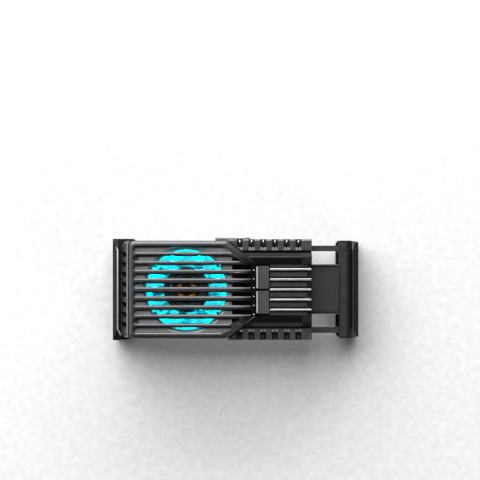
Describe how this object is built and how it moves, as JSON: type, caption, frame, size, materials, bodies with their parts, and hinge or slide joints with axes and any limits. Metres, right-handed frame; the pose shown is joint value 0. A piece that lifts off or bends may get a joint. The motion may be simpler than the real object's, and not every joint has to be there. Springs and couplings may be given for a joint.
{
  "type": "phone cooling pad",
  "caption": "Clamp-on cooling pad for a phone: finned thermoelectric cooler with a lit fan under a louvred grille, held by a fixed jaw and a sprung sliding jaw.",
  "frame": {"origin": "on the fan's axis, on the face of the pad that touches the phone", "axes": "+X towards the moving jaw, along the slide; +Y along the phone; +Z away from the phone, out of the grille"},
  "size_m": [0.0826, 0.0344, 0.0254],
  "materials": {
    "housing_plastic": "fine matt grain",
    "cover_plastic": "satin, polished edges",
    "rib_plastic": "polished black",
    "shroud_plastic": "matt grey",
    "badge_metal": "bead-blasted dark grey",
    "arm_metal": "dark powder coat",
    "jaw_rubber": "matt",
    "pad_silicone": "soft satin",
    "aluminium": "fine brushed",
    "module_ceramic": "fired alumina",
    "pellet_alloy": "dull",
    "foam": "open cell",
    "fan_plastic": "clear smoked, lit cyan",
    "frame_plastic": "moulded",
    "light_board": "lit cyan",
    "magnet": "bonded ferrite",
    "core_steel": "laminated",
    "copper_wire": "enamelled",
    "bushing_copper": "turned",
    "steel": "turned",
    "screw_steel": "black oxide",
    "spring_steel": "drawn",
    "board_green": "solder mask",
    "chip_black": "moulded",
    "socket_steel": "plated",
    "tongue_black": "moulded",
    "surround_metal": "anodised",
    "lead_red": "insulation",
    "lead_black": "insulation"
  },
  "bodies": {
    "housing": {"base_shell": "housing_plastic", "front_cover": "cover_plastic", "rib_insert": "rib_plastic", "badge_upper": "badge_metal", "badge_lower": "badge_metal", "fan_shroud": "shroud_plastic", "fan_frame": "frame_plastic", "fan_screws": "screw_steel", "cover_screws": "screw_steel", "bearing_sleeve": "bushing_copper", "stator_core": "core_steel", "stator_coils": "copper_wire", "light_ring": "light_board", "contact_pad": "pad_silicone", "cold_plate": "aluminium", "cold_ceramic": "module_ceramic", "module_pellets": "pellet_alloy", "hot_ceramic": "module_ceramic", "foam_gasket": "foam", "heatsink": "aluminium", "heatsink_screws": "steel", "control_board": "board_green", "board_parts": "chip_black", "inlet_socket": "socket_steel", "inlet_tongue": "tongue_black", "inlet_surround": "surround_metal", "spring_upper": "spring_steel", "spring_lower": "spring_steel", "fixed_jaw": "housing_plastic", "fixed_jaw_screws": "screw_steel", "fixed_jaw_pad": "jaw_rubber", "module_leads": "lead_red", "fan_leads": "lead_black"},
    "fan": {"fan_impeller": "fan_plastic", "rotor_magnet": "magnet", "hub_bushing": "bushing_copper", "fan_shaft": "steel"},
    "slide": {"slide_arm": "arm_metal", "moving_jaw": "housing_plastic", "jaw_cap": "cover_plastic", "jaw_screws": "screw_steel", "moving_jaw_pad": "jaw_rubber"}
  },
  "joints": [
    {"name": "jaw_slide", "type": "slide", "parent": "housing", "child": "slide", "axis": [1, 0, 0], "range_m": [-0.004, 0.014], "stiffness_N_per_m": 150, "springref_m": -0.016, "deforming": ["spring_upper", "spring_lower"]},
    {"name": "fan_spin", "type": "hinge", "parent": "housing", "child": "fan", "pos_m": [0, 0, 0.0112], "axis": [0, 0, 1], "continuous": true}
  ]
}
